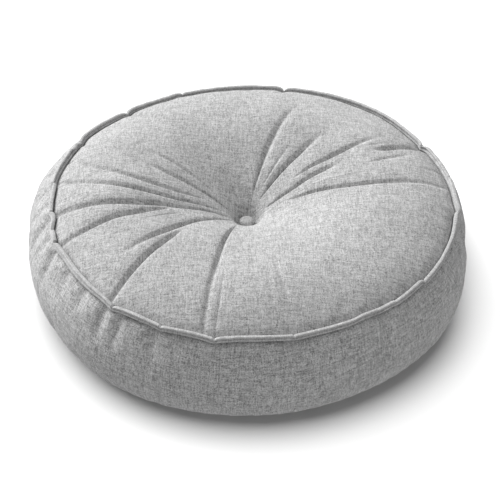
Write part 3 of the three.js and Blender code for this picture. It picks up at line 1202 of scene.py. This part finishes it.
@dataclass
class Edging:
    """The upright sewn edging: seam allowances turned out, folded and stitched through.

    Sizes are in millimetres and angles in degrees. Its section is drawn for the nominal
    height and scaled to each station's own. The foot stands beside the cover's root line,
    a clearance off the cloth. The wobble is what the hand of the sewer leaves: how far the
    edging leans, and by which share its height and thickness change. It is a sum of waves,
    so many of each to a round. The softening of the kinks is in stations.
    """

    stations: int = 1440
    clearance: float = 0.5
    neck: float = 0.9
    lower_roll: float = 2.9
    lower_middle: float = 1.0
    lower_rise: float = 1.5
    groove: float = 0.3
    groove_height: float = 3.0
    upper_roll: float = 2.3
    upper_rise: float = 1.35
    full_height: float = 6.5
    top_slope: float = -0.03
    foot_depth: float = -0.6
    groove_lip: float = 0.1
    groove_reach: float = 2.0
    foot_out: float = 0.7
    foot_up: float = 0.25
    foot_share_top: float = 0.985
    foot_share_side: float = 0.96
    nominal_height: float = 9.0
    seam_radius: float = 262.0
    flat_width: float = 31.0
    lean_wobble: float = 4.0
    height_wobble: float = 0.03
    thickness_wobble: float = 0.06
    kink_thinning: float = 0.3
    wobbles: tuple[int, ...] = (17, 29, 43, 61, 83)
    softening: float = 1.5
    softening_reach: int = 6

    def section(self, side: int) -> list[tuple[float, float]]:
        """Height over the seam and half thickness, from the foot to under the top.

        The rows go up the neck, the lower roll, the stitched groove and the upper roll. A
        positive top slope lets the top fall outwards.

        Args:
            side: 1 for the outer face, -1 for the inner one.

        Returns:
            Pairs of millimetres.
        """
        upper_middle = self.full_height - self.upper_rise
        rows = [(self.foot_depth, self.neck)]
        for turned in (-55, -20, 10, 40, 65):
            out, rise = boxy(turned)
            rows.append((self.lower_middle + self.lower_rise * rise, self.lower_roll * out))
        lip = self.groove + self.groove_lip
        for over, half in ((-0.3, lip), (0.0, self.groove), (0.5, lip)):
            rows.append((self.groove_height + over, half))
        for turned in (-60, -35, -10, 15, 35, 50, 62, 73, 82):
            out, rise = boxy(turned)
            half = self.upper_roll * out
            sloped = side * half * self.top_slope * (1 + rise) / 2
            rows.append((upper_middle + self.upper_rise * rise - sloped, half))
        return rows

    def drift(self, angles: Array) -> Array:
        """How far the upper edge stands out of line, jumping at each kink.

        Args:
            angles: angles of all the stations, in degrees.

        Returns:
            Distances in millimetres, softened over a few stations.
        """
        places = np.array([kink.angle for kink in KINKS], float)
        jumps = np.array([kink.jump for kink in KINKS], float)
        wrapped = angles % 360
        after = np.searchsorted(places, wrapped, side="right") % len(places)
        before = after - 1
        run = (places[after] - places[before]) % 360
        t = ((wrapped - places[before]) % 360) / run
        raw = jumps[before] / 2 * (1 - t) - jumps[after] / 2 * t
        reach = self.softening_reach
        kernel = np.exp(-((np.arange(-reach, reach + 1) / self.softening) ** 2))
        padded = np.concatenate([raw[-reach:], raw, raw[:reach]])
        return np.convolve(padded, kernel / kernel.sum(), mode="valid")

    def frame(self, cover: Cover) -> tuple[Array, Array, Array, Array, Array]:
        """The seam's points and the edging's directions at each station.

        Args:
            cover: the cover whose seam carries the edging.

        Returns:
            Seam points in millimetres, the way up the edging, the way out across it, and
            how much of its full height and of its thickness each station has.
        """
        angles = station_angles(self.stations)
        seam = cover.upper_side(np.ones(1), angles, 0.0)
        draw = np.random.default_rng(5)
        wave = np.zeros_like(angles)
        for waves in self.wobbles:
            turned = np.radians(angles) * waves + draw.uniform(0, math.tau)
            wave += np.sin(turned) / len(self.wobbles)
        height = rim_at("edging_height", angles)
        lean = np.radians(rim_at("edging_lean", angles) + self.lean_wobble * wave)
        lean = lean + np.arctan(self.drift(angles) / height)
        out = polar(angles, np.ones_like(angles), np.zeros_like(angles))
        up = out * np.sin(lean)[:, None]
        up[:, 2] = np.cos(lean)
        across = out * np.cos(lean)[:, None]
        across[:, 2] = -np.sin(lean)
        tall = height / self.nominal_height + self.height_wobble * wave
        thick = (height / self.nominal_height) ** 0.5 + self.thickness_wobble * wave
        for kink in KINKS:
            past = -np.radians(turn_to(angles, kink.angle)) * self.seam_radius
            t = np.clip(np.abs(past) / kink.run, 0, 1)
            dropped = 1 - np.sqrt(1 - (1 - t) ** 2)
            if not kink.both:
                dropped = np.where(past >= 0, dropped, 0)
            tall *= 1 - kink.drop * dropped
            thick *= 1 - self.kink_thinning * kink.drop * dropped
        return seam, up, across, tall, thick[:, None]

    def build(self, cover: Cover) -> bpy.types.Object:
        """Builds the edging as one closed hoop that stands on the cover's seam.

        Args:
            cover: the cover whose seam carries the edging.

        Returns:
            The edging's object.
        """
        angles = station_angles(self.stations)
        seam, up, across, tall, thick = self.frame(cover)
        root = cover.upper_side(np.ones(1), angles)
        root += self.clearance * (seam - root) / np.linalg.norm(seam - root, axis=1, keepdims=True)

        def beside(neighbour: Array) -> Array:
            """Foot points next to the root, towards neighbours on one face of the cover."""
            way = neighbour - root
            way /= np.linalg.norm(way, axis=1, keepdims=True)
            return root + self.foot_out * way + self.foot_up * (seam - root)

        shares = np.full((2, self.stations), self.foot_share_top)
        inner_foot = beside(cover.top(shares, np.stack([angles, angles]))[0])
        outer_foot = beside(cover.upper_side(np.full(1, self.foot_share_side), angles))
        rings = [inner_foot, root, outer_foot]
        filled = rim_at("groove_fill", angles).clip(0, 1)
        for side in (1, -1):
            section = self.section(side)[::side]
            if side == -1:
                rings.append(seam + up * (self.full_height * tall)[:, None])
            for height, half in section:
                if abs(height - self.groove_height) < self.groove_reach:
                    half = np.maximum(half, self.upper_roll * filled)[:, None]
                rings.append(seam + up * (height * tall)[:, None] + side * half * across * thick)
        rings = np.stack(rings) * MM
        closed = np.concatenate([rings, rings[:, :1]], 1)
        closed = np.concatenate([closed, closed[:1]], 0)
        around = np.linspace(0, math.tau * self.seam_radius * MM, closed.shape[1])
        wide = np.linspace(0, self.flat_width * MM, closed.shape[0])
        uvs = np.stack(np.meshgrid(around, wide), -1) + EDGING_PLACE
        return grid_object("folded_edging", rings, uvs, True, [])


@dataclass
class CoveredButton:
    """The domed button that the same cloth covers.

    Sizes are in millimetres. The dome is a row of insets, each with its share of the rise.
    """

    radius: float = 9.6
    rim_height: float = 3.4
    thickness: float = 6.3
    gap: float = 0.5
    rim_softness: float = 0.9
    dome: tuple[tuple[float, float], ...] = ((1.0, 0.45), (1.9, 0.33), (2.8, 0.17), (2.5, 0.05))

    def build(self, cover: Cover) -> bpy.types.Object:
        """Builds the button at the bottom of the tuft.

        Args:
            cover: the cover whose top the button draws down.

        Returns:
            The button's object.
        """
        floor = cover.middle_height + CROWN[0].height + self.gap
        deselect()
        bpy.ops.mesh.primitive_cylinder_add(
            vertices=48,
            radius=self.radius * MM,
            depth=self.rim_height * MM,
            location=Vector((cover.button_x, cover.button_y, floor + self.rim_height / 2)) * MM,
        )
        made = bpy.context.object
        made.name = "covered_button"
        bpy.ops.object.mode_set(mode="EDIT")
        bpy.ops.mesh.select_mode(type="FACE")
        for up in (True, False):
            mesh = bmesh.from_edit_mesh(made.data)
            for face in mesh.faces:
                face.select = face.normal.z > 0.9 if up else face.normal.z < -0.9
            bmesh.update_edit_mesh(made.data)
            rise = (self.thickness - self.rim_height) * MM if up else 0.0
            for inset, share in self.dome:
                bpy.ops.mesh.inset(thickness=inset * MM)
                bpy.ops.transform.translate(value=(0, 0, rise * share))
        bpy.ops.object.mode_set(mode="OBJECT")
        deselect()
        made.select_set(True)
        bpy.context.view_layer.objects.active = made
        bevel = made.modifiers.new("softened rim", "BEVEL")
        bevel.width, bevel.segments, bevel.limit_method = self.rim_softness * MM, 3, "ANGLE"
        bpy.ops.object.modifier_apply(modifier=bevel.name)
        smooth = made.modifiers.new("smooth", "SUBSURF")
        smooth.levels = smooth.render_levels = 2
        bpy.ops.object.modifier_apply(modifier=smooth.name)
        bpy.ops.object.transform_apply(location=True, rotation=True, scale=True)
        bpy.ops.object.shade_smooth()
        mesh = made.data
        for layer in list(mesh.uv_layers):
            mesh.uv_layers.remove(layer)
        co = np.zeros(len(mesh.vertices) * 3)
        mesh.vertices.foreach_get("co", co)
        index = np.zeros(len(mesh.loops), int)
        mesh.loops.foreach_get("vertex_index", index)
        layer = mesh.uv_layers.new(name=THREADS)
        layer.data.foreach_set("uv", co.reshape(-1, 3)[index, :2].astype(np.float32).ravel())
        return made


@dataclass(frozen=True)
class Lamp:
    """A wide soft light, by its direction and spread in degrees. Its strength is in W/m2."""

    name: str
    azimuth: float
    elevation: float
    spread: float
    strength: float


KEY = Lamp("key", 134, 31.5, 38, 4.1)
FLOOR_LIGHT = Lamp("floor_light", 140, 70, 76, 9.0)


@dataclass
class Studio:
    """The floor, the lights and the camera. Sizes are in metres, the lens in millimetres."""

    elevation: float = 39.0
    distance: float = 2.2
    lens: float = 119.33
    target: tuple[float, float, float] = (0.0013, 0.0, 0.0455)
    sky_strength: float = 0.5
    floor_size: float = 30.0

    def camera(self) -> None:
        """Places the camera at the photograph's viewing angle."""
        data = bpy.data.cameras.new("camera")
        data.lens, data.sensor_width = self.lens, 36.0
        camera = bpy.data.objects.new("camera", data)
        bpy.context.scene.collection.objects.link(camera)
        raised = math.radians(self.elevation)
        away = Vector((0, -math.cos(raised), math.sin(raised))) * self.distance
        camera.location = Vector(self.target) + away
        camera.rotation_euler = (math.pi / 2 - raised, 0, 0)
        bpy.context.scene.camera = camera

    def sky(self) -> None:
        """Adds the even sky."""
        world = bpy.data.worlds.new("studio")
        world.use_nodes = True
        back = world.node_tree.nodes["Background"]
        back.inputs["Color"].default_value = srgb("#ffffff")
        back.inputs["Strength"].default_value = self.sky_strength
        bpy.context.scene.world = world
        bpy.context.scene.view_settings.view_transform = "Standard"
        bpy.context.scene.view_settings.look = "None"

    def light(self, lamp: Lamp, receivers: Sequence[bpy.types.Object]) -> None:
        """Adds a wide soft light.

        Args:
            lamp: where it stands and how strong it is.
            receivers: the only objects that it lights.
        """
        data = bpy.data.lights.new(lamp.name, "SUN")
        data.energy = lamp.strength
        data.angle = math.radians(lamp.spread)
        made = bpy.data.objects.new(lamp.name, data)
        bpy.context.scene.collection.objects.link(made)
        turned, raised = math.radians(lamp.azimuth), math.radians(lamp.elevation)
        level = math.cos(raised)
        way = (level * math.cos(turned), level * math.sin(turned), math.sin(raised))
        made.rotation_mode = "QUATERNION"
        made.rotation_quaternion = Vector(way).to_track_quat("Z", "Y")
        lit = bpy.data.collections.new(f"{lamp.name}_lights")
        for receiver in receivers:
            lit.objects.link(receiver)
        made.light_linking.receiver_collection = lit

    def floor(self) -> bpy.types.Object:
        """Adds the pale plain floor.

        Returns:
            The floor's object.
        """
        deselect()
        bpy.ops.mesh.primitive_plane_add(size=self.floor_size)
        made = bpy.context.object
        made.name = "floor"
        made.visible_diffuse = False
        # Matt uncoated paper: an even pale ground with no highlight, on which the cushion's
        # soft shadow shows.
        paper = MattSurface("white_paper_floor", "#b0b0b0", 0.9)
        made.data.materials.append(paper.material())
        return made


def main() -> None:
    """Builds the camera, the pieces, their finishes and the studio, in that order."""
    logging.basicConfig(level=logging.INFO, format="%(message)s")
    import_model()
    studio = Studio()
    studio.camera()

    # A plain weave of a linen blend, spun of light and dark fibres: to the eye it is a matt
    # grey of fine short flecks and dashes along both ways of the threads, and folds in it
    # shade softly, with no highlight.
    cloth = WovenCloth("woven_linen_blend", "#dcdcdc", "#7c7c7c", 1.1, 9.0, 0.3, 0.6, 0.06)
    cover = Cover()
    body = cover.build()
    body.data.materials.append(cloth.material())
    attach(body, "root")
    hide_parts("cushion_body")
    LOG.info("cover: %d faces", len(body.data.polygons))

    # The same weave folded double and sewn through: its rolls turn so sharply that the flecks run
    # together, so it looks plainer. Its colours are paler than the cover's, partly from the threads
    # stretching over the folds and partly as painted light that stands in for the light on its top.
    edge_cloth = WovenCloth(
        "woven_linen_blend_edging", "#e4e4e4", "#868686", 1.1, 9.0, 0.2, 0.35, 0.06
    )
    edging = Edging()
    edge = edging.build(cover)
    edge.data.materials.append(edge_cloth.material())
    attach(edge, "root")
    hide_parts("seam_edging")
    LOG.info("edging: %d faces", len(edge.data.polygons))

    button = CoveredButton().build(cover)
    # The same weave drawn tight over the button's shell: smooth, with finer and shorter flecks.
    button_cloth = WovenCloth(
        "woven_linen_blend_button", "#dcdcdc", "#7c7c7c", 0.9, 4.0, 0.3, 0.4, 0.06
    )
    button.data.materials.append(button_cloth.material())
    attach(button, "root")
    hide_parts("tuft_button")
    LOG.info("button: %d faces", len(button.data.polygons))

    floor = studio.floor()
    studio.sky()
    studio.light(KEY, [body, edge, button])
    studio.light(FLOOR_LIGHT, [floor])


if __name__ == "__main__":
    main()
